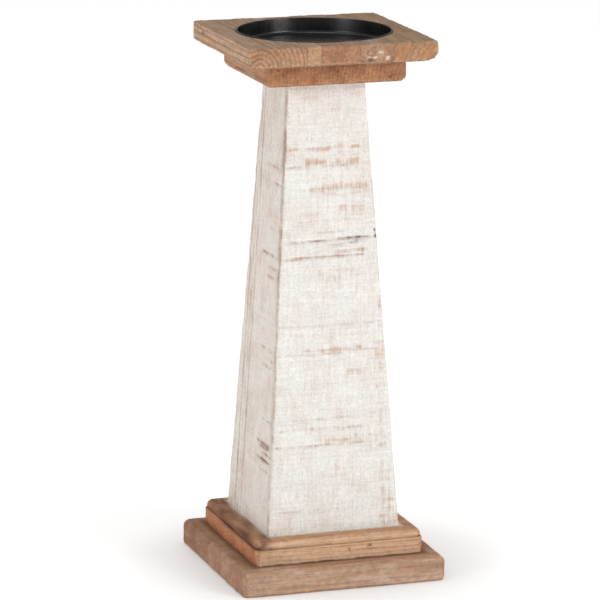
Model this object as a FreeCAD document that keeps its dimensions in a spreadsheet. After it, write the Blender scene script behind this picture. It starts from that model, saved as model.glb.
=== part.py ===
import FreeCAD, Part
import Sketcher
import os

# A square wooden pillar candlestick, in millimetres.
# The origin is at the centre of its underside, +Z is up and -Y is the front.
# From the table up: base plate, plinth plate, tapered column of three glued boards, cap plate,
# top plate of five glued staves, and a steel pan let into the top.

DIMENSIONS = [
    ("base_side", 140.0, "side of the square base plate"),
    ("base_thick", 17.0, "thickness of the base plate"),
    ("base_corner", 3.5, "radius of its upright corners"),
    ("base_round", 4.5, "radius along its top edges"),
    ("base_ease", 2.0, "radius along its bottom edges"),
    ("plinth_side", 116.0, "side of the square plinth plate"),
    ("plinth_thick", 16.2, "thickness of the plinth plate"),
    ("plinth_band", 10.7, "height of the plain band below its step"),
    ("plinth_step", 0.9, "how far its moulded upper part steps in"),
    ("plinth_corner", 3.0, "radius of its upright corners"),
    ("plinth_round", 4.5, "radius along its top edges"),
    ("column_foot", 91.2, "side of the square column at the foot"),
    ("column_head", 52.4, "side of the square column at the head"),
    ("column_tall", 296.3, "height of the column"),
    ("column_ease", 1.6, "radius along its four long edges"),
    ("back_board", 23.6, "thickness of the board glued on at the back"),
    ("right_board", 11.9, "thickness of the board glued on at the right"),
    ("cap_side", 95.7, "side of the square cap plate"),
    ("cap_thick", 15.1, "thickness of the cap plate"),
    ("cap_corner", 5.0, "radius of its upright corners"),
    ("cap_round", 4.0, "radius along its bottom edges"),
    ("top_side", 127.0, "side of the square top plate"),
    ("top_thick", 13.4, "thickness of the top plate"),
    ("top_corner", 3.0, "radius of its upright corners"),
    ("top_ease", 1.3, "radius along its top edges"),
    ("top_under", 2.8, "radius along its bottom edges"),
    ("seam_one", 37.9, "glue line between staves 1 and 2, from the left edge"),
    ("seam_two", 47.5, "glue line between staves 2 and 3, from the left edge"),
    ("seam_three", 73.8, "glue line between staves 3 and 4, from the left edge"),
    ("seam_four", 95.7, "glue line between staves 4 and 5, from the left edge"),
    ("pan_side", 101.8, "outside diameter of the pan"),
    ("pan_deep", 10.4, "depth inside the pan"),
    ("pan_wall", 1.0, "thickness of the pan's steel"),
    ("pan_bend", 2.0, "inside radius between the pan's wall and floor"),
    ("pan_proud", 0.6, "how far the pan's rim stands above the wood"),
    ("pan_gap", 0.1, "gap round the pan in its recess"),
    ("wood_screw", 4.2, "diameter of the wood screws"),
    ("wood_screw_head", 8.2, "diameter of their countersunk heads"),
    ("base_screw_long", 62.0, "length of the screws up through the base"),
    ("base_screw_reach", 28.0, "distance of those screws from each centre line"),
    ("base_screw_sink", 1.0, "how far their heads sit below the underside"),
    ("top_screw_long", 48.0, "length of the screws down through the top"),
    ("top_screw_reach", 14.0, "distance of those screws from each centre line"),
    ("top_screw_sink", 0.2, "how far their heads sit below the recess"),
    ("pan_screw", 3.5, "diameter of the screw that holds the pan"),
    ("pan_screw_head", 7.0, "diameter of its countersunk head"),
    ("pan_screw_long", 16.0, "length of that screw"),
    ("screw_gap", 0.05, "gap round each screw in its hole"),
    ("drive_wide", 0.9, "width of the arms of a screw's cross recess"),
    ("drive_deep", 1.3, "depth of a screw's cross recess"),
]

# Heights of the joints between the pieces, as expressions on the sheet.
PLINTH_Z = "Dims.base_thick"
COLUMN_Z = PLINTH_Z + " + Dims.plinth_thick"
CAP_Z = COLUMN_Z + " + Dims.column_tall"
TOP_Z = CAP_Z + " + Dims.cap_thick"
SURFACE_Z = TOP_Z + " + Dims.top_thick"
PAN_FLOOR_Z = SURFACE_Z + " + Dims.pan_proud - Dims.pan_deep"
RECESS_Z = PAN_FLOOR_Z + " - Dims.pan_wall"

NEAR = 0.001
DOWNWARD = FreeCAD.Rotation(FreeCAD.Vector(1, 0, 0), 180)
UPRIGHT_WEDGE = FreeCAD.Rotation(FreeCAD.Vector(1, 0, 0), 90)

doc = FreeCAD.newDocument("candlestick")
sheet = doc.addObject("Spreadsheet::Sheet", "Dims")
for row, (alias, value, meaning) in enumerate(DIMENSIONS, start=1):
    sheet.set(f"A{row}", meaning)
    sheet.set(f"B{row}", str(value))
    sheet.setAlias(f"B{row}", alias)
doc.recompute()


def add(kind, label, sizes, rotation=None):
    """Add an object whose properties follow expressions on the sheet."""
    thing = doc.addObject(kind, label)
    if rotation:
        thing.Placement = FreeCAD.Placement(FreeCAD.Vector(), rotation)
    for prop, expression in sizes.items():
        thing.setExpression(prop, expression)
    return thing


def at(x, y, z):
    """Expressions for the place of an object."""
    return {"Placement.Base.x": x, "Placement.Base.y": y, "Placement.Base.z": z}


def origin_plane(body, role):
    """One of the body's own origin planes."""
    return next(plane for plane in body.Origin.OriginFeatures if plane.Role == role)


def level_sketch(body, label, height):
    """A sketch on the body's ground plane, lifted by an expression."""
    sketch = body.newObject("Sketcher::SketchObject", label)
    sketch.AttachmentSupport = [(origin_plane(body, "XY_Plane"), "")]
    sketch.MapMode = "FlatFace"
    sketch.setExpression("AttachmentOffset.Base.z", height)
    return sketch


def draw_square(sketch, side):
    """Draw a square centred on the sketch's origin."""
    corners = [FreeCAD.Vector(x, y, 0) for x, y in ((-9, -9), (9, -9), (9, 9), (-9, 9))]
    for start, end in zip(corners, corners[1:] + corners[:1]):
        sketch.addGeometry(Part.LineSegment(start, end), False)
    for line in range(4):
        sketch.addConstraint(Sketcher.Constraint("Coincident", line, 2, (line + 1) % 4, 1))
        direction = "Vertical" if line % 2 else "Horizontal"
        sketch.addConstraint(Sketcher.Constraint(direction, line))
    sketch.addConstraint(Sketcher.Constraint("Symmetric", 0, 1, 2, 1, -1, 1))
    sketch.addConstraint(Sketcher.Constraint("Equal", 0, 1))
    width = sketch.addConstraint(Sketcher.Constraint("DistanceX", 0, 1, 0, 2, 18.0))
    sketch.renameConstraint(width, "side")
    sketch.setExpression("Constraints.side", side)


def draw_circle(sketch, diameter):
    """Draw a circle centred on the sketch's origin."""
    sketch.addGeometry(Part.Circle(FreeCAD.Vector(), FreeCAD.Vector(0, 0, 1), 9.0), False)
    sketch.addConstraint(Sketcher.Constraint("Coincident", 0, 3, -1, 1))
    width = sketch.addConstraint(Sketcher.Constraint("Diameter", 0, 18.0))
    sketch.renameConstraint(width, "diameter")
    sketch.setExpression("Constraints.diameter", diameter)


def pad(body, label, draw, size, length, height="0"):
    """Pad a square or circle up from a height in the body."""
    sketch = level_sketch(body, label + "_outline", height)
    draw(sketch, size)
    feature = body.newObject("PartDesign::Pad", label)
    feature.Profile = sketch
    feature.setExpression("Length", length)
    doc.recompute()
    return feature


def is_upright(edge):
    """True for an edge that runs along Z."""
    return edge.BoundBox.XLength < NEAR and edge.BoundBox.YLength < NEAR


def is_level(height):
    """A test for edges that lie flat at a height."""
    return lambda edge: abs(edge.BoundBox.ZMin - height) < NEAR and edge.BoundBox.ZLength < NEAR


def edge_names(shape, wanted):
    """Names of the edges that pass a test."""
    return [f"Edge{number}" for number, edge in enumerate(shape.Edges, start=1) if wanted(edge)]


def round_edges(body, label, wanted, radius):
    """Fillet the edges of the body's last feature that pass a test."""
    last = body.Tip
    feature = body.newObject("PartDesign::Fillet", label)
    feature.Base = (last, edge_names(last.Shape, wanted))
    feature.setExpression("Radius", radius)
    doc.recompute()


def plate_body(label, side, thickness, corner, height):
    """A square plate with rounded upright corners."""
    body = add("PartDesign::Body", label, at("0", "0", height))
    pad(body, label + "_pad", draw_square, side, thickness)
    round_edges(body, label + "_corners", is_upright, corner)
    return body


def make_base():
    """The bottom board: rounded along the top edges, just eased along the bottom ones."""
    body = plate_body("base_blank", "Dims.base_side", "Dims.base_thick", "Dims.base_corner", "0")
    round_edges(body, "base_top_round", is_level(sheet.base_thick), "Dims.base_round")
    round_edges(body, "base_bottom_ease", is_level(0.0), "Dims.base_ease")
    return body


def make_plinth():
    """The board on the base: a plain band, a small step in, and a rounded top edge."""
    body = plate_body(
        "plinth_blank", "Dims.plinth_side", "Dims.plinth_band", "Dims.plinth_corner", PLINTH_Z
    )
    moulded_side = "Dims.plinth_side - 2 * Dims.plinth_step"
    moulded_thick = "Dims.plinth_thick - Dims.plinth_band"
    pad(body, "plinth_moulded", draw_square, moulded_side, moulded_thick, "Dims.plinth_band")
    square_corner = sheet.plinth_side / 2 - sheet.plinth_step

    def is_moulded_corner(edge):
        return is_upright(edge) and abs(abs(edge.BoundBox.XMin) - square_corner) < NEAR \
            and abs(abs(edge.BoundBox.YMin) - square_corner) < NEAR

    round_edges(body, "plinth_upper_corners", is_moulded_corner, "Dims.plinth_corner")
    round_edges(body, "plinth_top_round", is_level(sheet.plinth_thick), "Dims.plinth_round")
    return body


def make_column():
    """The whole column, before its glue lines part it into boards: a square that tapers."""
    wedge = add("Part::Wedge", "column_taper", {
        "Xmin": "-Dims.column_foot / 2", "Xmax": "Dims.column_foot / 2",
        "Zmin": "-Dims.column_foot / 2", "Zmax": "Dims.column_foot / 2",
        "X2min": "-Dims.column_head / 2", "X2max": "Dims.column_head / 2",
        "Z2min": "-Dims.column_head / 2", "Z2max": "Dims.column_head / 2",
        "Ymin": "0", "Ymax": "Dims.column_tall",
        **at("0", "0", COLUMN_Z),
    }, UPRIGHT_WEDGE)
    doc.recompute()
    eased = doc.addObject("Part::Fillet", "column_eased")
    eased.Base = wedge
    long_edges = [
        number for number, edge in enumerate(wedge.Shape.Edges, start=1)
        if edge.BoundBox.ZLength > sheet.column_tall / 2
    ]
    eased.Edges = [(number, sheet.column_ease, sheet.column_ease) for number in long_edges]
    doc.recompute()
    return eased


def box(label, low, high):
    """A box between two corners, each a triple of expressions."""
    return add("Part::Box", label, {
        "Length": f"({high[0]}) - ({low[0]})",
        "Width": f"({high[1]}) - ({low[1]})",
        "Height": f"({high[2]}) - ({low[2]})",
        **at(*low),
    })


def common(label, shape, region):
    """The part of a shape that lies in a region."""
    piece = doc.addObject("Part::Common", label)
    piece.Base = shape
    piece.Tool = region
    return piece


def make_column_boards(column):
    """The three boards. Their glue lines run straight up, so the taper cuts across them."""
    edge = "Dims.column_foot / 2 + 1"
    right_seam = "Dims.column_foot / 2 - Dims.right_board"
    back_seam = "Dims.column_foot / 2 - Dims.back_board"
    regions = {
        "column_core": ((f"-({edge})", f"-({edge})"), (right_seam, back_seam)),
        "column_back_board": ((f"-({edge})", back_seam), (right_seam, edge)),
        "column_right_board": ((right_seam, f"-({edge})"), (edge, edge)),
    }
    return {
        label: common(label + "_blank", column, box(label + "_region", (*low, COLUMN_Z), (*high, CAP_Z)))
        for label, (low, high) in regions.items()
    }


def make_cap():
    """The board on the column, rounded along its bottom edges."""
    body = plate_body("cap_blank", "Dims.cap_side", "Dims.cap_thick", "Dims.cap_corner", CAP_Z)
    round_edges(body, "cap_bottom_round", is_level(0.0), "Dims.cap_round")
    return body


def make_top():
    """The whole top plate, with the round recess for the pan, before its glue lines part it."""
    body = plate_body("top_blank", "Dims.top_side", "Dims.top_thick", "Dims.top_corner", TOP_Z)
    round_edges(body, "top_edge_ease", is_level(sheet.top_thick), "Dims.top_ease")
    round_edges(body, "top_bottom_round", is_level(0.0), "Dims.top_under")
    before = body.Shape.Volume
    sketch = level_sketch(body, "recess_outline", "Dims.top_thick")
    draw_circle(sketch, "Dims.pan_side + 2 * Dims.pan_gap")
    pocket = body.newObject("PartDesign::Pocket", "recess")
    pocket.Profile = sketch
    pocket.setExpression("Length", "Dims.pan_deep + Dims.pan_wall - Dims.pan_proud")
    doc.recompute()
    if body.Shape.Volume >= before:
        raise RuntimeError("the recess cut nothing")
    return body


def make_staves(top):
    """The five staves of the top plate, from left to right, parted at its glue lines."""
    edge = "Dims.top_side / 2"
    names = ("seam_one", "seam_two", "seam_three", "seam_four")
    seams = [f"-({edge}) + Dims.{name}" for name in names]
    lefts = [f"-({edge}) - 1"] + seams
    rights = seams + [f"{edge} + 1"]
    staves = {}
    for number, (left, right) in enumerate(zip(lefts, rights), start=1):
        region = box(
            f"stave_region_{number}",
            (left, f"-({edge}) - 1", TOP_Z),
            (right, f"{edge} + 1", SURFACE_Z),
        )
        staves[f"top_stave_{number}"] = common(f"stave_blank_{number}", top, region)
    return staves


def make_pan():
    """The pressed steel pan: a shallow cup with a straight wall, open at the top."""
    body = add("PartDesign::Body", "pan_blank", at("0", "0", RECESS_Z))
    pad(body, "pan_disc", draw_circle, "Dims.pan_side", "Dims.pan_deep + Dims.pan_wall")
    round_edges(body, "pan_outer_bend", is_level(0.0), "Dims.pan_bend + Dims.pan_wall")
    solid = body.Tip
    rim = sheet.pan_deep + sheet.pan_wall
    mouth = [
        f"Face{number}" for number, face in enumerate(solid.Shape.Faces, start=1)
        if face.BoundBox.ZMin > rim - NEAR
    ]
    shell = body.newObject("PartDesign::Thickness", "pan_shell")
    shell.Base = (solid, mouth)
    shell.setExpression("Value", "Dims.pan_wall")
    shell.Reversed = True
    doc.recompute()
    return body


def screw_sections(label, head, shank, length, gap, place, rotation):
    """The head, shank and point of a countersunk screw, lengthwise from its head."""
    x, y, z = place
    way = "-" if rotation else "+"
    head_radius = f"{head} / 2 + {gap}"
    shank_radius = f"{shank} / 2 + {gap}"
    head_tall = f"({head} - {shank}) / 2"
    point_tall = f"{shank} * 1.2"
    point_start = f"({length}) - {point_tall}"
    sections = [
        add("Part::Cone", label + "_head", {
            "Radius1": head_radius, "Radius2": shank_radius, "Height": head_tall, **at(x, y, z),
        }, rotation),
        add("Part::Cylinder", label + "_shank", {
            "Radius": shank_radius, "Height": f"{point_start} - {head_tall}",
            **at(x, y, f"{z} {way} {head_tall}"),
        }, rotation),
        add("Part::Cone", label + "_point", {
            "Radius1": shank_radius, "Radius2": f"0.2 + {gap}", "Height": f"{point_tall} + {gap}",
            **at(x, y, f"{z} {way} ({point_start})"),
        }, rotation),
    ]
    return sections


def join(label, shapes):
    """Fuse shapes into one."""
    whole = doc.addObject("Part::MultiFuse", label)
    whole.Shapes = shapes
    return whole


def cut(label, shape, tool):
    """A shape with a tool cut out of it."""
    piece = doc.addObject("Part::Cut", label)
    piece.Base = shape
    piece.Tool = tool
    return piece


def make_screw(label, head, shank, length, place, rotation):
    """A countersunk screw with a cross recess, and the hole that it sits in."""
    x, y, z = place
    sections = screw_sections(label, head, shank, length, "0", place, rotation)
    deep = f"{z} - Dims.drive_deep" if rotation else z
    arms = []
    for arm, (wide, long) in {"x": ("Dims.drive_wide", f"{head} / 2"),
                              "y": (f"{head} / 2", "Dims.drive_wide")}.items():
        arms.append(add("Part::Box", f"{label}_drive_{arm}", {
            "Length": wide, "Width": long, "Height": "Dims.drive_deep",
            **at(f"{x} - ({wide}) / 2", f"{y} - ({long}) / 2", deep),
        }))
    screw = cut(label, join(label + "_whole", sections), join(label + "_drive", arms))
    hole = screw_sections(label + "_hole", head, shank, length, "Dims.screw_gap", place, rotation)
    return screw, hole


def corner_places(reach):
    """The four corners of a square about the centre line."""
    return [(f"{x}{reach}", f"{y}{reach}") for x, y in (("-", "-"), ("", "-"), ("", ""), ("-", ""))]


def make_screws():
    """All the screws, and one tool that drills every hole for them."""
    screws = {}
    holes = []
    for number, (x, y) in enumerate(corner_places("Dims.base_screw_reach"), start=1):
        label = f"base_screw_{number}"
        screws[label], hole = make_screw(
            label, "Dims.wood_screw_head", "Dims.wood_screw", "Dims.base_screw_long",
            (x, y, "Dims.base_screw_sink"), None,
        )
        sink = add("Part::Cylinder", label + "_sink", {
            "Radius": "Dims.wood_screw_head / 2 + Dims.screw_gap",
            "Height": "Dims.base_screw_sink",
            **at(x, y, "0"),
        })
        holes += hole + [sink]
    for number, (x, y) in enumerate(corner_places("Dims.top_screw_reach"), start=1):
        label = f"top_screw_{number}"
        screws[label], hole = make_screw(
            label, "Dims.wood_screw_head", "Dims.wood_screw", "Dims.top_screw_long",
            (x, y, f"{RECESS_Z} - Dims.top_screw_sink"), DOWNWARD,
        )
        sink = add("Part::Cylinder", label + "_sink", {
            "Radius": "Dims.wood_screw_head / 2 + Dims.screw_gap",
            "Height": "Dims.top_screw_sink",
            **at(x, y, f"{RECESS_Z} - Dims.top_screw_sink"),
        })
        holes += hole + [sink]
    screws["pan_screw"], hole = make_screw(
        "pan_screw", "Dims.pan_screw_head", "Dims.pan_screw", "Dims.pan_screw_long",
        ("0", "0", PAN_FLOOR_Z), DOWNWARD,
    )
    return screws, join("screw_holes", holes + hole)


def check(pieces):
    """Stop unless every object is sound and every piece is one valid solid."""
    for thing in doc.Objects:
        if "Invalid" in thing.State or "Error" in thing.State:
            raise RuntimeError(f"{thing.Label} is {thing.State}")
    for label, piece in pieces.items():
        shape = piece.Shape
        if shape.isNull() or not shape.isValid() or len(shape.Solids) != 1:
            raise RuntimeError(f"{label} isn't one valid solid")
        print(f"{label}: {shape.Volume / 1000:.2f} cm3")


blanks = {"base_plate": make_base(), "plinth_plate": make_plinth()}
blanks.update(make_column_boards(make_column()))
blanks["cap_plate"] = make_cap()
blanks.update(make_staves(make_top()))
blanks["pan"] = make_pan()

pieces, screw_holes = make_screws()
for label, blank in blanks.items():
    pieces[label] = cut(label, blank, screw_holes)
doc.recompute()
check(pieces)

os.makedirs("parts", exist_ok=True)
for label, piece in pieces.items():
    piece.Shape.exportStep(f"parts/{label}.step")
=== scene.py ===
import math
import random
from collections import namedtuple

import bmesh
import bpy
from mathutils import Matrix, Vector, noise


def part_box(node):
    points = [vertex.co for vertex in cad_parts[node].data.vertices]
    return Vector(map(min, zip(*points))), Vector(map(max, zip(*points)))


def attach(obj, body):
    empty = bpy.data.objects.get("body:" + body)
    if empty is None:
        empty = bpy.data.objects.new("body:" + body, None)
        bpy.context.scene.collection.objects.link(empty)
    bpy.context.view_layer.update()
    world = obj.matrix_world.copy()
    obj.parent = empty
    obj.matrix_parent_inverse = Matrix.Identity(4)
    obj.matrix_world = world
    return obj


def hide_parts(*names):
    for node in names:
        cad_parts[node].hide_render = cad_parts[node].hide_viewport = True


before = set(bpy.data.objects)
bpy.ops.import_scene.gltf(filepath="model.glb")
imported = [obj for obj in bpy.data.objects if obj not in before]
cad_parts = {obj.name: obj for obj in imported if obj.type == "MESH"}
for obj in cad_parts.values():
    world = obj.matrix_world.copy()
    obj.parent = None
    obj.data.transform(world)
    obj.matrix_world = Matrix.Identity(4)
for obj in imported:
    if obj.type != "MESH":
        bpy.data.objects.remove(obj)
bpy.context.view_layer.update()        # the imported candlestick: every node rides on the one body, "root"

# A square pillar candlestick of old wood: stepped base, whitewashed tapered column, stepped top
# with a black steel pan. -Y is the front, +Z is up, and everything is in metres.

MM = 0.001
BODY = "root"

STAVES = [f"top_stave_{number}" for number in range(1, 6)]
COLUMN_BOARDS = ["column_core", "column_back_board", "column_right_board"]


def joined_box(nodes):
    """Lowest and highest corner of several CAD nodes together."""
    boxes = [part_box(node) for node in nodes]
    low = Vector([min(box[0][axis] for box in boxes) for axis in range(3)])
    high = Vector([max(box[1][axis] for box in boxes) for axis in range(3)])
    return low, high


BASE_LOW, BASE_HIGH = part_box("base_plate")
PLINTH_LOW, PLINTH_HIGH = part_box("plinth_plate")
COLUMN_LOW, COLUMN_HIGH = joined_box(COLUMN_BOARDS)
CAP_LOW, CAP_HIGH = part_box("cap_plate")
TOP_LOW, TOP_HIGH = joined_box(STAVES)
PAN_LOW, PAN_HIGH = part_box("pan")
PAN_SCREW_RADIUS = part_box("pan_screw")[1].x

HEAD_HALF = 26.2 * MM
FOOT_HALF = COLUMN_HIGH.x
TAPER = (FOOT_HALF - HEAD_HALF) / (COLUMN_HIGH.z - COLUMN_LOW.z)
RIGHT_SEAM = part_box("column_right_board")[0].x
BACK_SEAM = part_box("column_back_board")[0].y

DOWN = Vector((0, 0, -1))
UP = Vector((0, 0, 1))
LEVEL = 0.01 * MM           # how near a height counts as lying at it
WELD = 0.001 * MM           # how near two points count as one
GAP_WELD = 0.005 * MM       # the same round a cut, whose points lie less exactly
STRAIGHT = 0.99             # how much of an edge's length must run along an axis
SMOOTH_UP_TO = math.radians(40)
WOOD_PITCH = 1.4 * MM       # how finely the stained boards are sliced
ARRIS_STEPS = 4


def column_half(height):
    """Half the column's width at a height."""
    return FOOT_HALF - TAPER * (height - COLUMN_LOW.z)


# --- mesh work -----------------------------------------------------------------------------------

def block(low, high):
    """A plain block between two corners."""
    bm = bmesh.new()
    bmesh.ops.create_cube(bm, size=1)
    bmesh.ops.scale(bm, vec=high - low, verts=bm.verts)
    bmesh.ops.translate(bm, vec=(low + high) / 2, verts=bm.verts)
    for layer in ("worn", "dark"):
        bm.verts.layers.float.new(layer)
    return bm


def edges_along(bm, axis):
    """Straight edges that run along an axis."""
    found = []
    for edge in bm.edges:
        run = edge.verts[1].co - edge.verts[0].co
        if abs(run[axis]) > STRAIGHT * run.length:
            found.append(edge)
    return found


def edges_at(bm, height):
    """Edges that lie flat at a height."""
    return [e for e in bm.edges if all(abs(v.co.z - height) < LEVEL for v in e.verts)]


def face_at(bm, height):
    """The flat face at a height."""
    return min(bm.faces, key=lambda face: max(abs(v.co.z - height) for v in face.verts))


def round_over(bm, edges, radius, steps):
    """Round edges to a radius."""
    bmesh.ops.bevel(bm, geom=edges, offset=radius, offset_type="OFFSET", segments=steps,
                    profile=0.5, affect="EDGES", material=-1)


def cut_plane(bm, point, normal, **clear):
    """Cut the whole mesh along a plane."""
    geometry = bm.verts[:] + bm.edges[:] + bm.faces[:]
    bmesh.ops.bisect_plane(bm, geom=geometry, dist=WELD, plane_co=point, plane_no=normal, **clear)


def slice_up(bm, low, high):
    """Cut the mesh into even slices along each axis, so that its surface can take wear."""
    for axis in range(3):
        count = round((high[axis] - low[axis]) / WOOD_PITCH)
        normal = Vector([float(axis == other) for other in range(3)])
        for step in range(1, count):
            cut_plane(bm, normal * (low[axis] + (high[axis] - low[axis]) * step / count), normal)


def pierce(bm, face, centres, radius, steps):
    """Give a level face round holes, and return the edges round each one."""
    height = face.verts[0].co.z
    outline = list(face.edges)
    bmesh.ops.delete(bm, geom=[face], context="FACES_ONLY")
    rims = []
    for x, y in centres:
        place = Matrix.Translation((x, y, height))
        ring = bmesh.ops.create_circle(bm, cap_ends=False, segments=steps, radius=radius, matrix=place)
        rims.append(list(dict.fromkeys(edge for vert in ring["verts"] for edge in vert.link_edges)))
    bmesh.ops.triangle_fill(bm, use_beauty=True, edges=outline + sum(rims, []))
    return rims


def sink(bm, rim, centre, rise, spread):
    """Draw a hole's rim up or down, scaling it about its centre, and return the new rim."""
    drawn = bmesh.ops.extrude_edge_only(bm, edges=rim)["geom"]
    verts = [item for item in drawn if isinstance(item, bmesh.types.BMVert)]
    bmesh.ops.translate(bm, vec=(0, 0, rise), verts=verts)
    place = Matrix.Translation((-centre[0], -centre[1], 0))
    bmesh.ops.scale(bm, vec=(spread, spread, 1), space=place, verts=verts)
    return [item for item in drawn if isinstance(item, bmesh.types.BMEdge)
            and all(vert in verts for vert in item.verts)]


def raise_face(bm, face, rise, spread):
    """Extrude a level face upwards, scaling its outline, and return the face at the top."""
    top = bmesh.ops.extrude_discrete_faces(bm, faces=[face])["faces"][0]
    bmesh.ops.translate(bm, vec=(0, 0, rise), verts=top.verts)
    bmesh.ops.scale(bm, vec=(spread, spread, 1), verts=top.verts)
    return top


def close_holes(bm):
    """Cap every open edge loop."""
    bmesh.ops.remove_doubles(bm, verts=[v for v in bm.verts if v.is_boundary], dist=GAP_WELD)
    bmesh.ops.triangle_fill(bm, use_beauty=True, edges=[edge for edge in bm.edges if edge.is_boundary])


def roughly(point, size, seed):
    """Smooth noise from -1 to 1, with lumps of a size."""
    return noise.noise(point / size + Vector((seed, 3.1 * seed, 7.7 * seed)))


def span(value, start, end, soft):
    """1 between start and end, falling to 0 over a soft distance outside them."""
    return max(0.0, min(1.0, (value - start) / soft + 1, (end - value) / soft + 1))


def bell(away, width):
    """1 where away is 0, falling smoothly to nothing on both sides, within about two widths."""
    return math.exp(-(away / width) ** 2)


LUMP, NICK, RIPPLE = 13 * MM, 3.5 * MM, 24 * MM     # how large the uneven places on a worn board are
RIPPLE_DEPTH = 0.12 * MM


def weather(bm, low, high, knock, reach, seed, still=()):
    """Wear a squared piece by hand and use: arrises knocked back unevenly, faces slightly wavy.
    The amount worn at each arris is kept in the layer "worn". Sides in still keep their plane."""
    worn = bm.verts.layers.float["worn"]
    bm.normal_update()
    moves = []
    for vert in bm.verts:
        gaps = sorted(min(vert.co[a] - low[a], high[a] - vert.co[a]) for a in range(3))
        arris = max(0.0, 1 - gaps[1] / reach)
        lumps = 0.62 * roughly(vert.co, LUMP, seed) + 0.38 * roughly(vert.co, NICK, seed + 2)
        bite = arris * arris * max(0.0, 0.30 + 1.3 * lumps)
        wave = 0.5 + 0.5 * roughly(vert.co, RIPPLE, seed + 5)
        vert[worn] = max(vert[worn], min(1.0, arris * (0.55 + 0.9 * lumps)))
        held = any(vert.normal.dot(side) > 0.95 for side in still)
        moves.append(Vector() if held else -vert.normal * (knock * bite + RIPPLE_DEPTH * wave))
    for vert, move in zip(bm.verts, moves):
        vert.co += move


def dent(bm, centre, size, depth, tone):
    """Press a small rough hollow into the surface and darken it. The measures are millimetres."""
    dark = bm.verts.layers.float["dark"]
    centre, size = Vector(centre) * MM, Vector(size) * MM
    bm.normal_update()
    near = [v for v in bm.verts if (v.co - centre).length < 2.2 * size.length]
    for vert in near:
        gap = Vector([(vert.co[a] - centre[a]) / size[a] for a in range(3)]).length
        ragged = gap * (1 + 0.35 * roughly(vert.co, 2 * MM, 4))
        hollow = max(0.0, 1 - ragged * ragged)
        vert[dark] = max(vert[dark], tone * min(1.0, 1.6 * hollow))
        vert.co -= vert.normal * (depth * MM) * hollow


def stain(bm, low, high, tone):
    """Darken the surface inside a box, unevenly: stain, and in some boxes painted shade. The corners are
    in millimetres."""
    dark = bm.verts.layers.float["dark"]
    low, high = Vector(low) * MM, Vector(high) * MM
    for vert in bm.verts:
        inside = min(span(vert.co[axis], low[axis], high[axis], 2.5 * MM) for axis in range(3))
        if inside > 0:
            streaky = Vector((vert.co.x, 0.25 * vert.co.y, vert.co.z))
            amount = tone * inside * (0.8 + 1.0 * roughly(streaky, 5 * MM, 61))
            vert[dark] = min(1.0, max(vert[dark], amount))


def make_piece(bm, name, node, material):
    """Turn a finished bmesh into a piece that stands for a CAD node."""
    bmesh.ops.recalc_face_normals(bm, faces=bm.faces)
    mesh = bpy.data.meshes.new(name)
    bm.to_mesh(mesh)
    bm.free()
    for polygon in mesh.polygons:
        polygon.use_smooth = True
    mesh.set_sharp_from_angle(angle=SMOOTH_UP_TO)
    mesh.materials.append(material)
    piece = bpy.data.objects.new(name, mesh)
    bpy.context.scene.collection.objects.link(piece)
    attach(piece, BODY)
    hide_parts(node)


# --- materials -----------------------------------------------------------------------------------

# How one stained board looks. along is its grain's axis, pith the line that its rings turn round and
# rings their spacing (mm), wavy how much they wander, streak how far they show, and coarse how
# strong its fibres and pores are. milky is how far it has been rubbed milky, and seed sets where its
# patterns fall. tones are its early wood, late wood, deep stain and rubbed wood. Then come what end
# grain and upward faces are multiplied by, the darkening of upward faces being painted shade, as if
# the light fell from low in front, greyed a little as with dust, and the dark colour of its pores,
# knots, soiling and the painted shade at its joints. joint is what lies round the next piece up,
# knots are dark spots, warm are resinous ones, torn is where its fibres are splintered, and the last
# lists its bands of painted shade, with some soiling, next to a joint or the floor: the height (mm)
# where each is full, the height where it has gone, and how thick it lies.
Look = namedtuple("Look", "along pith rings wavy streak coarse milky seed tones end_tone up_tone dirt "
                          "joint knots warm torn grime")

# What lies round the foot of the next piece up: that piece's half width, the height it stands at
# and the spread from it (mm), how thick it lies and its colour.
Joint = namedtuple("Joint", "half height spread amount tone")


def linear(colour):
    """A hex sRGB colour as linear RGBA."""
    parts = [int(colour[start:start + 2], 16) / 255 for start in (1, 3, 5)]
    return [p / 12.92 if p <= 0.04045 else ((p + 0.055) / 1.055) ** 2.4 for p in parts] + [1.0]


def add(tree, kind, inputs=None, stops=None, **settings):
    """Add a node, with its settings, its ramp's stops, and its inputs linked or filled in. Another
    node given as an input gives its first output."""
    made = tree.nodes.new(kind)
    for name, value in settings.items():
        setattr(made, name, value)
    for name, value in (inputs or {}).items():
        if isinstance(value, bpy.types.Node):
            value = value.outputs[0]
        if isinstance(value, bpy.types.NodeSocket):
            tree.links.new(value, made.inputs[name])
        else:
            made.inputs[name].default_value = value
    if stops:
        ramp = made.color_ramp
        while len(ramp.elements) < len(stops):
            ramp.elements.new(0.5)
        for element, (place, colour) in zip(ramp.elements, stops):
            element.position = place
            element.color = linear(colour) if isinstance(colour, str) else (colour,) * 3 + (1,)
    return made


def new_material(name):
    """A material with its tree, its shader and the object's own coordinates."""
    material = bpy.data.materials.new(name)
    material.use_nodes = True
    tree = material.node_tree
    shader = tree.nodes["Principled BSDF"]
    return material, tree, shader, add(tree, "ShaderNodeTexCoord").outputs["Object"]


# A noise texture keeps mostly between these two values.
NOISE_LOW, NOISE_HIGH = 0.34, 0.66


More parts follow.
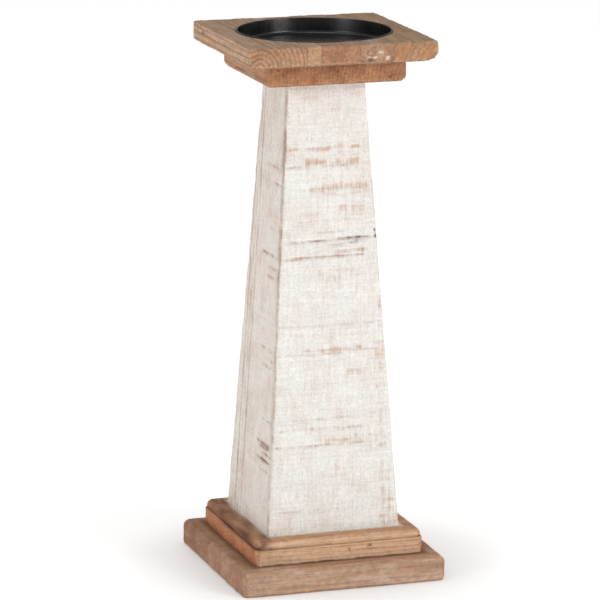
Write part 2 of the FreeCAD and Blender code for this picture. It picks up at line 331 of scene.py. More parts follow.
def spots(tree, coords, places):
    """How much each point lies in a small ragged spot: 1 at a spot's heart, 0 outside.
    places are (centre, radius) pairs in millimetres."""
    ragged = add(tree, "ShaderNodeTexNoise", {
        "Vector": coords, "Scale": 1 / (1.4 * MM), "Detail": 3.0, "Roughness": 0.7,
    })
    total = None
    for centre, radius in places:
        away = add(tree, "ShaderNodeVectorMath", {0: coords, 1: Vector(centre) * MM}, operation="DISTANCE")
        torn = add(tree, "ShaderNodeMath", {
            0: ragged, 1: 1.3 * radius * MM, 2: away.outputs["Value"],
        }, operation="MULTIPLY_ADD")
        spot = add(tree, "ShaderNodeMapRange", {
            "Value": torn, "From Min": 1.75 * radius * MM, "From Max": 1.0 * radius * MM,
        })
        total = add(tree, "ShaderNodeMath", {0: total, 1: spot}, operation="MAXIMUM") if total else spot
    return total


def joint_band(tree, coords, flecks, joint):
    """How thick the band round the foot of the piece that stands on this one lies: on the base it is painted
    shade with some soiling, on the plinth spilt limewash.
    """
    place = add(tree, "ShaderNodeSeparateXYZ", {0: coords})
    across = [add(tree, "ShaderNodeMath", {0: place.outputs[axis]}, operation="ABSOLUTE") for axis in (0, 1)]
    out = add(tree, "ShaderNodeMath", {0: across[0], 1: across[1]}, operation="MAXIMUM")
    ragged = add(tree, "ShaderNodeMath", {0: flecks, 1: -joint.spread * 2 * MM, 2: out},
                 operation="MULTIPLY_ADD")
    near = add(tree, "ShaderNodeMapRange", {
        "Value": ragged, "From Min": joint.half * MM + 0.35 * joint.spread * MM,
        "From Max": joint.half * MM - 0.6 * joint.spread * MM, "To Max": joint.amount,
    })
    above = add(tree, "ShaderNodeMapRange", {
        "Value": place.outputs["Z"], "From Min": (joint.height - 1.2) * MM,
        "From Max": (joint.height - 0.6) * MM,
    })
    return add(tree, "ShaderNodeMath", {0: near, 1: above}, operation="MULTIPLY")


def torn_fibres(tree, coords, places):
    """Where torn fibres show pale new wood, and where there are dark hollows between them."""
    region = spots(tree, coords, places)
    slant = add(tree, "ShaderNodeMapping", {
        "Vector": coords, "Rotation": (0, math.radians(-52), 0), "Scale": (0.45, 1, 1),
    })
    splinters = add(tree, "ShaderNodeTexNoise", {
        "Vector": slant, "Scale": 1 / (1.9 * MM), "Detail": 3.0, "Roughness": 0.6,
    })
    found = []
    for start, full, most in ((0.52, 0.62, 0.95), (0.45, 0.36, 0.8)):
        share = add(tree, "ShaderNodeMapRange", {
            "Value": splinters, "From Min": start, "From Max": full, "To Max": most,
        })
        found.append(add(tree, "ShaderNodeMath", {0: region, 1: share}, operation="MULTIPLY"))
    return found


def stained_pine(name, look):
    """Old planed pine under a thin brown wood stain, waxed almost dry: matt, with darker late-wood
    rings, dark pores and fibres along the grain, end grain that drank more stain, upward faces darkened
    as painted shade, pale rubbed patches, lighter arrises, and painted shade with some soiling at the
    joints."""
    material, tree, shader, coords = new_material(name)
    along = look.along
    centred = add(tree, "ShaderNodeMapping", {"Vector": coords, "Location": [-p * MM for p in look.pith]})
    # Every pattern is drawn out along the grain, the rubbed patches least.
    grain, pore_run, rub_run = [add(tree, "ShaderNodeMapping", {
        "Vector": centred, "Scale": [squeeze if axis == along else 1.0 for axis in range(3)], "Location": shift,
    }) for squeeze, shift in ((0.05, (0, 0, 0)), (0.035, (0, 0, 0)), (0.45, (0.1 * look.seed, 0.3, 0.2)))]
    # Growth rings: the wave's own scale counts 20 / (2 pi) waves in a metre.
    ring = add(tree, "ShaderNodeTexWave", {
        "Vector": grain, "Scale": 2 * math.pi / 20 / (look.rings * MM), "Distortion": look.wavy,
        "Detail": 3.0, "Detail Scale": 0.8, "Detail Roughness": 0.65, "Phase Offset": look.seed,
    }, wave_type="RINGS", rings_direction="XYZ"[along], wave_profile="SAW")
    # The real fibres and pores are some tenths of a millimetre wide, too fine to show, so they are
    # drawn one to two millimetres wide. The sizes are in millimetres.
    fibres, pores, blotches, flecks, rubs = [add(tree, "ShaderNodeTexNoise", {
        "Vector": run, "Scale": 1 / (size * MM), "Detail": detail, "Roughness": rough,
    }) for run, size, detail, rough in (
        (grain, 1.3, 4.0, 0.7), (pore_run, 1.6, 3.0, 0.75), (grain, 14, 5.0, 0.65),
        (centred, 3.6, 5.0, 0.72), (rub_run, 15, 6.0, 0.68),
    )]
    early, late, deep, rub = look.tones
    ringed = add(tree, "ShaderNodeValToRGB", {"Fac": ring.outputs["Fac"]}, stops=[
        (0.0, early), (0.50, early), (0.86, late), (0.97, late), (1.0, early),
    ])
    plain = add(tree, "ShaderNodeValToRGB", {"Fac": blotches}, stops=[(0.34, deep), (0.50, early), (0.66, rub)])
    colour = add(tree, "ShaderNodeMix", {0: look.streak, 6: plain, 7: ringed}, data_type="RGBA").outputs[2]
    for texture in (fibres, flecks):
        tone = add(tree, "ShaderNodeMapRange", {
            "Value": texture, "From Min": NOISE_LOW, "From Max": NOISE_HIGH,
            "To Min": 1 - 0.26 * look.coarse, "To Max": 1 + 0.22 * look.coarse,
        })
        colour = add(tree, "ShaderNodeVectorMath", {0: colour, "Scale": tone}, operation="SCALE")
    pore = add(tree, "ShaderNodeMapRange", {
        "Value": pores, "From Min": 0.43, "From Max": NOISE_LOW, "To Max": 0.5 * look.coarse,
    })
    # Milky rubbed patches, where the stain has been sanded thin.
    rubbed = add(tree, "ShaderNodeMapRange", {
        "Value": rubs, "From Min": 0.54, "From Max": 0.68, "To Max": look.milky,
    })
    # Rubbed arrises: the stain has gone and the paler wood shows.
    worn = add(tree, "ShaderNodeAttribute", attribute_name="worn")
    worn_edge = add(tree, "ShaderNodeMath", {0: worn.outputs["Fac"], 1: flecks}, operation="MULTIPLY")
    worn_amount = add(tree, "ShaderNodeMapRange", {
        "Value": worn_edge, "From Min": 0.20, "From Max": 0.50, "To Max": 0.5,
    })
    # End grain is darker. Upward faces are darkened as painted shade, as if the light fell from low in front,
    # and greyed a little as with dust.
    facing = add(tree, "ShaderNodeNewGeometry")
    normal = add(tree, "ShaderNodeSeparateXYZ", {0: facing.outputs["Normal"]})
    end = add(tree, "ShaderNodeMath", {0: normal.outputs[along]}, operation="ABSOLUTE")
    end_share, up_shade_share = [add(tree, "ShaderNodeMapRange", {
        "Value": amount, "From Min": 0.45, "From Max": 0.95,
    }) for amount in (end, normal.outputs["Z"])]
    layers = [(pore, look.dirt, "MIX"), (rubbed, "#d3bda8", "MIX"), (worn_amount, rub, "MIX"),
              (end_share, look.end_tone, "MULTIPLY"), (up_shade_share, look.up_tone, "MULTIPLY")]
    if look.joint:
        layers.append((joint_band(tree, coords, flecks, look.joint), look.joint.tone, "MIX"))
    if look.warm:
        resin = add(tree, "ShaderNodeMath", {0: spots(tree, coords, look.warm), 1: 0.6}, operation="MULTIPLY")
        layers.append((resin, "#bd7a45", "MIX"))
    # Knots, splits and nicks hold dark soiling, and the bands next to the joints and the floor are painted
    # shade with some soiling.
    hollows = []
    if look.torn:
        new_wood, hollow = torn_fibres(tree, coords, look.torn)
        layers.append((new_wood, "#e0cdbb", "MIX"))
        hollows.append(hollow)
    height = add(tree, "ShaderNodeSeparateXYZ", {0: coords}).outputs["Z"]
    lumpy = add(tree, "ShaderNodeMath", {0: flecks, 1: 2.0 * MM, 2: height}, operation="MULTIPLY_ADD")
    # Bands next to a joint or the floor, darkened as painted shade with some soiling.
    for full, gone, amount in look.grime:
        hollows.append(add(tree, "ShaderNodeMapRange", {
            "Value": lumpy, "From Min": (gone + 1) * MM, "From Max": (full + 1) * MM, "To Max": amount,
        }))
    if look.knots:
        hollows.append(spots(tree, coords, look.knots))
    dark = add(tree, "ShaderNodeAttribute", attribute_name="dark").outputs["Fac"]
    for hollow in hollows:
        dark = add(tree, "ShaderNodeMath", {0: dark, 1: hollow}, operation="MAXIMUM")
    # The dark places take the dark colour: soiling in knots, pores and splits, and painted shade at the joints.
    layers.append((dark, look.dirt, "MIX"))
    for amount, tone, blend in layers:
        colour = add(tree, "ShaderNodeMix", {0: amount, 6: colour, 7: linear(tone)},
                     data_type="RGBA", blend_type=blend).outputs[2]
    tree.links.new(colour, shader.inputs["Base Color"])
    gloss = add(tree, "ShaderNodeMapRange", {"Value": flecks, "To Min": 0.62, "To Max": 0.86})
    tree.links.new(gloss.outputs[0], shader.inputs["Roughness"])
    shader.inputs["Specular IOR Level"].default_value = 0.35
    relief = add(tree, "ShaderNodeMath", {0: fibres, 1: 0.8, 2: flecks}, operation="MULTIPLY_ADD")
    bump = add(tree, "ShaderNodeBump", {"Height": relief, "Distance": 0.6 * MM, "Strength": 0.6})
    tree.links.new(bump.outputs[0], shader.inputs["Normal"])
    return material


# Dark knots at the column's front right corner: centres and radii, in millimetres.
BLACK_KNOTS = [((31.4, -32.6, 230.6), 1.5), ((31.9, -33.0, 226.5), 1.7), ((30.6, -33.2, 228.4), 0.8)]


def whitewashed_pine():
    """Rough-sawn pine brushed with thin off-white limewash and sanded back: chalky and matt, with a
    linen-like cross of saw marks and grain, and pink-tan wood where the wash has rubbed through."""
    material, tree, shader, coords = new_material("whitewashed_pine")
    up_grain = add(tree, "ShaderNodeMapping", {"Vector": coords, "Scale": (1, 1, 0.09)})
    level = add(tree, "ShaderNodeMapping", {"Vector": coords, "Scale": (0.06, 0.06, 1)})
    # The real grain lines and saw marks are about half a millimetre apart, too fine to show, so they
    # are drawn about one and a half millimetres apart. The sizes are in millimetres.
    grain, kerfs, blotches, flecks, stipple = [add(tree, "ShaderNodeTexNoise", {
        "Vector": run, "Scale": 1 / (size * MM), "Detail": detail, "Roughness": rough,
    }) for run, size, detail, rough in (
        (up_grain, 1.4, 3.0, 0.6), (level, 1.7, 4.0, 0.7), (coords, 19, 6.0, 0.66),
        (coords, 2.6, 4.0, 0.75), (coords, 1.5, 2.0, 0.6),
    )]
    # Brushed along the grain on the left, the wash is thinner there and its saw marks are softer.
    facing = add(tree, "ShaderNodeNewGeometry")
    normal = add(tree, "ShaderNodeSeparateXYZ", {0: facing.outputs["Normal"]})
    left = add(tree, "ShaderNodeMapRange", {"Value": normal.outputs["X"], "From Min": -0.6, "From Max": -0.9})
    calm = add(tree, "ShaderNodeMath", {0: left, 1: 0.6}, operation="MULTIPLY")
    softened = add(tree, "ShaderNodeMix", {0: calm, 2: kerfs, 3: 0.5})
    weave = add(tree, "ShaderNodeMath", {0: grain, 1: softened}, operation="ADD")
    wash = add(tree, "ShaderNodeValToRGB", {"Fac": blotches}, stops=[
        (0.32, "#e9e1d9"), (0.48, "#ede8e1"), (0.64, "#f0efe9"),
    ])
    weave_tone = add(tree, "ShaderNodeMapRange", {
        "Value": weave, "From Min": 0.72, "From Max": 1.28, "To Min": 1.05, "To Max": 0.87,
    })
    stipple_tone = add(tree, "ShaderNodeMapRange", {
        "Value": stipple, "From Min": NOISE_LOW, "From Max": NOISE_HIGH, "To Min": 0.90, "To Max": 1.06,
    })
    tone = add(tree, "ShaderNodeMath", {0: weave_tone, 1: stipple_tone}, operation="MULTIPLY")
    toned = add(tree, "ShaderNodeVectorMath", {0: wash, "Scale": tone}, operation="SCALE")
    # The wash goes first from the ridges between saw marks, so wear and weave add up.
    thin = add(tree, "ShaderNodeAttribute", attribute_name="worn").outputs["Fac"]
    for texture, share in ((blotches, -1.3), (weave, 1.2), (flecks, 1.3)):
        thin = add(tree, "ShaderNodeMath", {0: texture, 1: share, 2: thin}, operation="MULTIPLY_ADD")
    bare = add(tree, "ShaderNodeMapRange", {"Value": thin, "From Min": 1.52, "From Max": 2.22, "To Max": 0.80})
    wood = add(tree, "ShaderNodeValToRGB", {"Fac": flecks}, stops=[
        (0.35, "#b9957c"), (0.5, "#ceb09a"), (0.68, "#dcc4b1"),
    ])
    # A little wash stays in the grain, so a rubbed mark is combed with fine upright lines.
    comb = add(tree, "ShaderNodeMapRange", {
        "Value": grain, "From Min": 0.40, "From Max": 0.58, "To Min": 0.60, "To Max": 1.25,
    })
    combed = add(tree, "ShaderNodeMath", {0: bare, 1: comb}, operation="MULTIPLY")
    # Soiling in the cracks and saw cuts, and the painted shade beside the front left corner, are broken up by
    # the same flecks.
    dark = add(tree, "ShaderNodeAttribute", attribute_name="dark")
    broken = add(tree, "ShaderNodeMapRange", {
        "Value": flecks, "From Min": 0.36, "From Max": 0.60, "To Min": 0.35, "To Max": 1.0,
    })
    dark_lines_and_shade = add(tree, "ShaderNodeMath", {0: dark.outputs["Fac"], 1: broken}, operation="MULTIPLY")
    colour = toned
    for amount, tone, blend in (
            (left, linear("#fffaf7"), "MULTIPLY"), (combed, wood, "MIX"), (dark_lines_and_shade, linear("#684836"), "MIX"),
            (spots(tree, coords, BLACK_KNOTS), linear("#2c2320"), "MIX")):
        colour = add(tree, "ShaderNodeMix", {0: amount, 6: colour, 7: tone},
                     data_type="RGBA", blend_type=blend).outputs[2]
    tree.links.new(colour, shader.inputs["Base Color"])
    shader.inputs["Roughness"].default_value = 0.88
    shader.inputs["Specular IOR Level"].default_value = 0.25
    relief = add(tree, "ShaderNodeMath", {0: bare, 1: -0.5, 2: weave}, operation="MULTIPLY_ADD")
    bump = add(tree, "ShaderNodeBump", {"Height": relief, "Distance": 0.45 * MM, "Strength": 0.5})
    tree.links.new(bump.outputs[0], shader.inputs["Normal"])
    return material


def black_enamel():
    """Pressed steel under satin black stove enamel: near black, softly shiny, with faint orange
    peel, fine dust on the floor and dull handling marks."""
    material, tree, shader, coords = new_material("black_enamel")
    dust = add(tree, "ShaderNodeTexNoise", {
        "Vector": coords, "Scale": 1 / (6 * MM), "Detail": 6.0, "Roughness": 0.7,
    })
    tone = add(tree, "ShaderNodeValToRGB", {"Fac": dust}, stops=[
        (0.35, "#0a0909"), (0.6, "#100e0e"), (0.8, "#1c1a18"),
    ])
    tree.links.new(tone.outputs[0], shader.inputs["Base Color"])
    haze = add(tree, "ShaderNodeMapRange", {
        "Value": dust, "From Min": 0.3, "From Max": 0.75, "To Min": 0.12, "To Max": 0.25,
    })
    # The press has left faint upright draw marks in the wall.
    upright = add(tree, "ShaderNodeMapping", {"Vector": coords, "Scale": (1, 1, 0.02)})
    drawn = add(tree, "ShaderNodeTexNoise", {
        "Vector": upright, "Scale": 1 / (2.4 * MM), "Detail": 3.0, "Roughness": 0.7,
    })
    rough = add(tree, "ShaderNodeMath", {0: drawn, 1: 0.22, 2: haze}, operation="MULTIPLY_ADD")
    tree.links.new(rough.outputs[0], shader.inputs["Roughness"])
    shader.inputs["Specular IOR Level"].default_value = 0.6
    # Real orange peel is about half a millimetre from lump to lump; it is drawn twice as coarse.
    peel = add(tree, "ShaderNodeTexNoise", {"Vector": coords, "Scale": 1 / (0.9 * MM), "Detail": 2.0})
    bump = add(tree, "ShaderNodeBump", {"Height": peel, "Distance": 0.03 * MM, "Strength": 0.15})
    tree.links.new(bump.outputs[0], shader.inputs["Normal"])
    return material


def zinc_steel(name, tones, polish):
    """Cold-headed screw steel with a thin zinc or black coating: metallic and fairly bright, with
    dull specks of white rust."""
    material, tree, shader, coords = new_material(name)
    # Real specks of rust are a tenth or two of a millimetre across; they are drawn several times as
    # large.
    specks = add(tree, "ShaderNodeTexNoise", {
        "Vector": coords, "Scale": 1 / (0.7 * MM), "Detail": 5.0, "Roughness": 0.7,
    })
    colour = add(tree, "ShaderNodeValToRGB", {"Fac": specks}, stops=[(0.35, tones[0]), (0.7, tones[1])])
    tree.links.new(colour.outputs[0], shader.inputs["Base Color"])
    shader.inputs["Metallic"].default_value = 1.0
    dull = add(tree, "ShaderNodeMapRange", {"Value": specks, "To Min": polish, "To Max": polish + 0.25})
    tree.links.new(dull.outputs[0], shader.inputs["Roughness"])
    bump = add(tree, "ShaderNodeBump", {"Height": specks, "Distance": 0.03 * MM, "Strength": 0.5})
    tree.links.new(bump.outputs[0], shader.inputs["Normal"])
    return material


# --- base and plinth -----------------------------------------------------------------------------

BASE_SCREWS = [f"base_screw_{number}" for number in range(1, 5)]
SCREW_HEAD = 4.15 * MM
SCREW_SHANK = 2.15 * MM
SHANK_DEPTH = 4 * MM        # how far up the shank's hole is modelled


BASE_CORNER, BASE_ARRIS, BASE_FOOT = 4.6 * MM, 4.5 * MM, 2 * MM     # how far its edges are rounded


def make_base(material):
    """The bottom board, with well rounded top arrises and countersunk holes underneath."""
    bm = block(BASE_LOW, BASE_HIGH)
    round_over(bm, edges_along(bm, 2), BASE_CORNER, ARRIS_STEPS)
    round_over(bm, edges_at(bm, BASE_HIGH.z), BASE_ARRIS, ARRIS_STEPS)
    round_over(bm, edges_at(bm, BASE_LOW.z), BASE_FOOT, steps=3)
    boxes = [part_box(screw) for screw in BASE_SCREWS]
    centres = [((low.x + high.x) / 2, (low.y + high.y) / 2) for low, high in boxes]
    head_height = boxes[0][0].z - BASE_LOW.z
    rims = pierce(bm, face_at(bm, BASE_LOW.z), centres, SCREW_HEAD, steps=24)
    for rim, centre in zip(rims, centres):
        rim = sink(bm, rim, centre, head_height, 1)
        rim = sink(bm, rim, centre, SCREW_HEAD - SCREW_SHANK, SCREW_SHANK / SCREW_HEAD)
        sink(bm, rim, centre, SHANK_DEPTH, 1)
    close_holes(bm)
    slice_up(bm, BASE_LOW, BASE_HIGH)
    weather(bm, BASE_LOW, BASE_HIGH, knock=1.3 * MM, reach=7 * MM, seed=11, still=[DOWN])
    # Along the ledge's left side, next to the plinth, the wood is darkened as painted shade with some soiling.
    # Stain has gathered low on the left end and at the front's left.
    stain(bm, (-66, -60, 15), (-57, 70, 20), 0.32)
    stain(bm, (-71, 10, 0), (-66, 70, 17), 0.22)
    stain(bm, (-71, -72, 1), (-34, -68, 15), 0.10)
    # A small knot in the front and a nick at the front left corner.
    dent(bm, (30, -70, 8.8), (2.6, 3, 1.6), 0.4, 0.3)
    dent(bm, (-66, -67, 10), (1.6, 3, 4), 0.7, 0.5)
    make_piece(bm, "worn_base_board", "base_plate", material)


PLINTH_CORNER = 4.6 * MM
BAND_TOP = 27.7 * MM
QUIRK = 0.9 * MM                # how high the quirk is
QUIRK_DEPTH = 1.8 * MM
QUIRK_LIP = 0.3 * MM            # the sloping step above the quirk
NOSE_DEPTH = 0.9 * MM           # how far the rounded edge stands back from the band
NOSE_RADIUS = 3.9 * MM
BAND_ARRIS = 0.5 * MM


def make_plinth(material):
    """The moulded board: a plain band, a fine quirk, and a rounded edge above it."""
    half = PLINTH_HIGH.x
    quirk_half = half - QUIRK_DEPTH
    nose_half = half - NOSE_DEPTH
    bm = block(PLINTH_LOW, Vector((half, half, BAND_TOP)))
    round_over(bm, edges_along(bm, 2), PLINTH_CORNER, ARRIS_STEPS)
    top = raise_face(bm, face_at(bm, BAND_TOP), 0, quirk_half / half)
    top = raise_face(bm, top, QUIRK, 1)
    top = raise_face(bm, top, QUIRK_LIP, nose_half / quirk_half)
    raise_face(bm, top, PLINTH_HIGH.z - BAND_TOP - QUIRK - QUIRK_LIP, 1)
    round_over(bm, edges_at(bm, PLINTH_HIGH.z), NOSE_RADIUS, steps=5)
    outside = quirk_half + 0.1 * MM
    band_edge = [edge for edge in edges_at(bm, BAND_TOP)
                 if any(max(abs(vert.co[axis]) for vert in edge.verts) > outside for axis in (0, 1))
                 and len(edge.link_faces) == 2 and edge.calc_face_angle() > 1]
    round_over(bm, band_edge, BAND_ARRIS, steps=2)
    slice_up(bm, PLINTH_LOW, (PLINTH_HIGH.x, PLINTH_HIGH.y, BAND_TOP))
    weather(bm, PLINTH_LOW, PLINTH_HIGH, knock=0.9 * MM, reach=6 * MM, seed=23, still=[DOWN, UP])
    # The moulding is darkened on the left: stain, and painted shade where the column's shadow falls. The foot
    # of the left end, at the joint, is darkened as painted shade with some soiling, and stain has gathered at
    # the left of the front band.
    stain(bm, (-58, -57, 28.5), (-47, 70, 40), 0.80)
    stain(bm, (-58, -57.5, 17), (-57, 70, 19), 0.35)
    stain(bm, (-60, -60, 16), (-34, -56, 28), 0.20)
    stain(bm, (-60, -60, 16), (-8, -56, 28), 0.09)
    # Two small knots in the front band.
    dent(bm, (6.5, -58, 23.5), (1.2, 3, 2.2), 0.3, 0.4)
    dent(bm, (20.5, -58, 25.2), (2.2, 3, 1.2), 0.4, 0.5)
    make_piece(bm, "worn_plinth_board", "plinth_plate", material)


# --- column --------------------------------------------------------------------------------------

# A mark across the column's grain, in millimetres: its height, where it starts and ends across the
# face, its spread up and down, how far the wash is rubbed there, how deep it is cut, its slope.
Mark = namedtuple("Mark", "height start end spread rub cut slope", defaults=(0.0, 0.0))

# What wear has done at a point: how far the wash is rubbed, how dark it is, with soiling and in places painted
# shade, how deep it is (mm).
Wear = namedtuple("Wear", "rub dirt depth", defaults=(0.0, 0.0, 0.0))

FRONT_MARKS = [
    # Saw marks and rubbed bands, from the head down.
    Mark(311, -14, 16, 2.0, 0.22),
    Mark(292, -14, 24, 1.0, 0.50),
    Mark(285.5, -25, 20, 1.6, 0.85, 0.15),
    Mark(276.5, -15, 19, 3.0, 0.90, 0.15),
    Mark(273.8, -26, 26, 0.6, 0.60, 0.2, 0.015),
    Mark(259.5, -17, 25, 3.4, 0.75, 0.1),
    Mark(255.5, -10, 22, 0.7, 0.50, 0.15),
    Mark(246, -6, 19, 3.6, 0.45),
    Mark(238, -18, 20, 0.8, 0.38, 0.1),
    Mark(231, -12, 22, 0.8, 0.45, 0.1, 0.02),
    Mark(225.3, -28, 29, 0.7, 0.85, 0.55, 0.02),
    Mark(226.0, 6, 21, 0.9, 0.9, 0.9, 0.02),
    Mark(216.2, 6, 23, 2.2, 1.0, 0.2, 0.10),
    Mark(214.6, -29, 22, 0.9, 0.9, 0.3, 0.015),
    Mark(221.5, 2, 22, 0.5, 0.45, 0.45, 0.12),
    Mark(204, -14, 16, 3.4, 0.38),
    Mark(190, -6, 20, 2.2, 0.22),
    Mark(169.8, -35, 30, 0.7, 0.45, 0.2),
    Mark(163, -20, 24, 0.9, 0.35, 0.1),
    Mark(154, -16, 20, 3.2, 0.85, 0.15),
    Mark(151.8, -36, 30, 0.7, 0.60, 0.2),
    Mark(138, -5, 19, 3.0, 0.55),
    Mark(127, -20, 20, 2.6, 0.25),
    Mark(109, -38, 28, 0.7, 0.50, 0.15, 0.01),
    Mark(102, -40, 20, 1.6, 0.65, 0.15),
    Mark(93.5, -12, 16, 3.2, 0.65),
    Mark(91, -38, 20, 0.8, 0.75, 0.2, 0.01),
    Mark(76, -8, 20, 3.0, 0.50),
    Mark(62, -6, 14, 4.0, 0.36),
    Mark(48.5, -36, 15, 0.9, 0.42, 0.1, 0.01),
    # Short rubs beside the front glue line, which drift out towards the foot.
    Mark(156, 30, 35, 3.0, 0.60),
    Mark(149, 30, 36, 3.2, 0.80),
    Mark(127, 31, 36, 2.0, 0.70, 0.1),
    Mark(115, 32, 36, 2.0, 0.70, 0.1),
    Mark(98, 32, 36, 3.0, 0.62),
    Mark(88, 32, 36, 2.6, 0.60, 0.1),
    Mark(71, 34, 39, 2.6, 0.70),
    Mark(51, 36, 41, 2.4, 0.75, 0.1),
    Mark(39, 37, 43, 1.8, 0.65),
]

LEFT_MARKS = [
    Mark(286, -28, -12, 1.2, 0.45, 0.1),
    Mark(271, -30, 2, 0.9, 0.75, 0.3),
    Mark(261, -34, -12, 1.6, 0.75, 0.3),
    Mark(250, -30, -14, 0.9, 0.5, 0.1),
    Mark(231, -26, -10, 1.0, 0.45, 0.1),
    Mark(214, -40, 4, 1.2, 0.85, 0.4),
    Mark(206, -34, -12, 0.9, 0.6, 0.2),
    Mark(199.5, -36, -10, 0.9, 0.75, 0.35),
    Mark(170, -36, -16, 1.0, 0.5, 0.1),
    Mark(152, -36, -8, 1.0, 0.8, 0.35),
    Mark(146, -38, -16, 1.8, 0.6, 0.15),
    Mark(141.5, -34, -14, 0.9, 0.7, 0.3),
    Mark(106, -38, -16, 1.1, 0.7, 0.25),
    Mark(90, -34, -12, 1.6, 1.0, 1.2),
    Mark(88, -32, -18, 1.2, 0.9, 0.6),
    Mark(84, -38, -26, 0.9, 0.8, 0.5),
    Mark(79.6, -37, -14, 1.4, 1.0, 1.1),
    Mark(73, -34, -20, 0.9, 0.6, 0.2),
]


def spare_marks(seed, count):
    """Saw marks for a face that has the same finish: their places are drawn by chance."""
    draw = random.Random(seed)
    marks = []
    for number in range(count):
        height = 45 + 270 * (number + draw.random()) / count
        start = draw.uniform(-36, 4)
        fine = draw.random() < 0.6
        marks.append(Mark(height, start, start + draw.uniform(16, 48), 0.8 if fine else 2.2,
                          draw.uniform(0.35, 0.8), 0.25 if fine else 0.0, draw.uniform(-0.02, 0.02)))
    return marks


MARKS = {"front": FRONT_MARKS, "left": LEFT_MARKS, "back": spare_marks(5, 22), "right": spare_marks(8, 20)}


def side_of(point):
    """Which side of the column a point is on, and its place across that side."""
    if abs(point.y) > abs(point.x):
        return ("front" if point.y < 0 else "back"), point.x
    return ("left" if point.x < 0 else "right"), point.y


def all_over(point, side, across, height):
    """Light rubbing everywhere, more on the left and at the foot near one corner, and a band under the cap that
    is painted shade.
    """
    everywhere = (0.24 if side == "left" else 0.10) * (1 + roughly(point, 30 * MM, 3))
    # The column is darkened under the cap as painted shade.
    shade_under_cap = 0.30 * span(height, 324, 340, 6)
    foot = 0.38 * span(height, 0, 60, 14) * span(across, 33, 60, 3) * (1 + roughly(point, 5 * MM, 19))
    return Wear(max(everywhere, shade_under_cap, foot))


LINE_WIDTH = 0.75           # of the cut in the middle of a mark, in millimetres


def saw_marks(point, side, across, height):
    """The marks of a side. The saw wandered a little, so none is quite straight."""
    rub = dirt = depth = 0.0
    wander = 0.9 * roughly(Vector((point.x, point.y, 4 * point.z)), 21 * MM, 41)
    for mark in MARKS[side]:
        away = height - mark.height - mark.slope * across - wander
        if abs(away) > 2.5 * mark.spread + 2:
            continue
        reach = span(across, mark.start, mark.end, min(5, (mark.end - mark.start) / 2))
        broken = max(0.0, 0.8 + 0.9 * roughly(point, 6 * MM, mark.height))
        rub = max(rub, mark.rub * reach * broken * bell(away, mark.spread))
        line = bell(away, LINE_WIDTH) * reach * broken
        depth = max(depth, mark.cut * line)
        dirt = max(dirt, min(1.0, 1.35 * mark.cut) * line)
    return Wear(rub, dirt, depth)


def glue_lines(point, side):
    """Glue lines. The wash bridges the one in front, and has cracked along those at the sides."""
    if side in ("front", "back"):
        seam, place, strength = RIGHT_SEAM, point.x, 0.35
    else:
        seam, place, strength = BACK_SEAM, point.y, 0.6
    gap = abs(place - seam) / MM + 0.4 * roughly(point, 12 * MM, 14)
    if abs(gap) >= 3:
        return Wear()
    patchy = max(0.0, min(1.0, strength + 1.3 * roughly(point, 9 * MM, 9)))
    crack = bell(gap, 0.7)
    return Wear(0.72 * patchy * bell(gap, 1.8), 0.22 * patchy * crack, 0.2 * strength * crack)


CORNER_REACH = 4.6          # how far the corners' wear reaches, in millimetres


def corner_wear(point, side, across, height, corner):
    """The long corners are rubbed back to brown wood, most on the left and right sides. corner is
    the distance from the nearest one, in millimetres."""
    lumps = roughly(point, 16 * MM, 31) + 0.5 * roughly(point, 4 * MM, 32)
    edge = max(0.0, 1 - corner / CORNER_REACH)
    weight = 0.95 if side in ("left", "right") else 0.22
    rub = weight * edge * (0.65 + 0.9 * lumps)
    dirt = 0.0
    if side == "left" and across < 0:
        # The one at the front left has a darker strip beside it, stronger towards the head: rubbed wood, and
        # painted shade along the rounded corner.
        band = bell(corner - 2.4, 3.6) * (0.45 + 0.30 * span(height, 180, 360, 50))
        rub = max(rub, band * (1.0 + 0.9 * lumps))
        dirt = 0.50 * band * (0.8 + 1.2 * roughly(point, 9 * MM, 33))
    return Wear(rub, dirt, 1.3 * edge * edge * max(0.0, 0.25 + lumps))


def glue_strip(point, across, height):
    """Squeezed-out glue kept the wash off a strip along the left joint, and it has dark edges."""
    strip = 3.4 + 2.4 * span(height, 0, 250, 60)
    from_seam = across - BACK_SEAM / MM + 0.6 * roughly(point, 15 * MM, 13)
    patchy = 0.8 + 0.7 * roughly(point, 20 * MM, 12)
    edges = bell(abs(from_seam) - strip, 1.2)
    inside = 0.50 * span(from_seam, -strip, strip, 1.5) * patchy
    return Wear(max(inside, 0.95 * edges * patchy), 0.42 * edges * patchy)


def wear_column(bm):
    """Press the marks, glue lines and rubbed corners into the column and note them in its layers."""
    worn = bm.verts.layers.float["worn"]
    dark = bm.verts.layers.float["dark"]
    bm.normal_update()
    moves = []
    for vert in bm.verts:
        if abs(vert.normal.z) > 0.9:
            moves.append(Vector())
            continue
        point = vert.co
        side, offset = side_of(point)
        across, height = offset / MM, point.z / MM
        corner = (column_half(point.z) - abs(offset)) / MM
        wears = [all_over(point, side, across, height), saw_marks(point, side, across, height),
                 glue_lines(point, side), corner_wear(point, side, across, height, corner)]
        if side == "left":
            wears.append(glue_strip(point, across, height))
        rub, dirt, depth = (max(amounts) for amounts in zip(*wears))
        wave = 0.10 * (1 + roughly(point, 22 * MM, 17))
        vert[worn] = min(1.0, rub)
        vert[dark] = min(1.0, dirt)
        moves.append(-vert.normal * (depth + wave) * MM)
    for vert, move in zip(bm.verts, moves):
        vert.co += move


def taper(bm):
    """Draw the column in towards its head."""
    for vert in bm.verts:
        scale = column_half(vert.co.z) / FOOT_HALF
        vert.co.x *= scale
        vert.co.y *= scale


COLUMN_CORNER = 2.2 * MM
CUTS_UP, CUTS_ACROSS = 255, 66      # how finely the column is divided


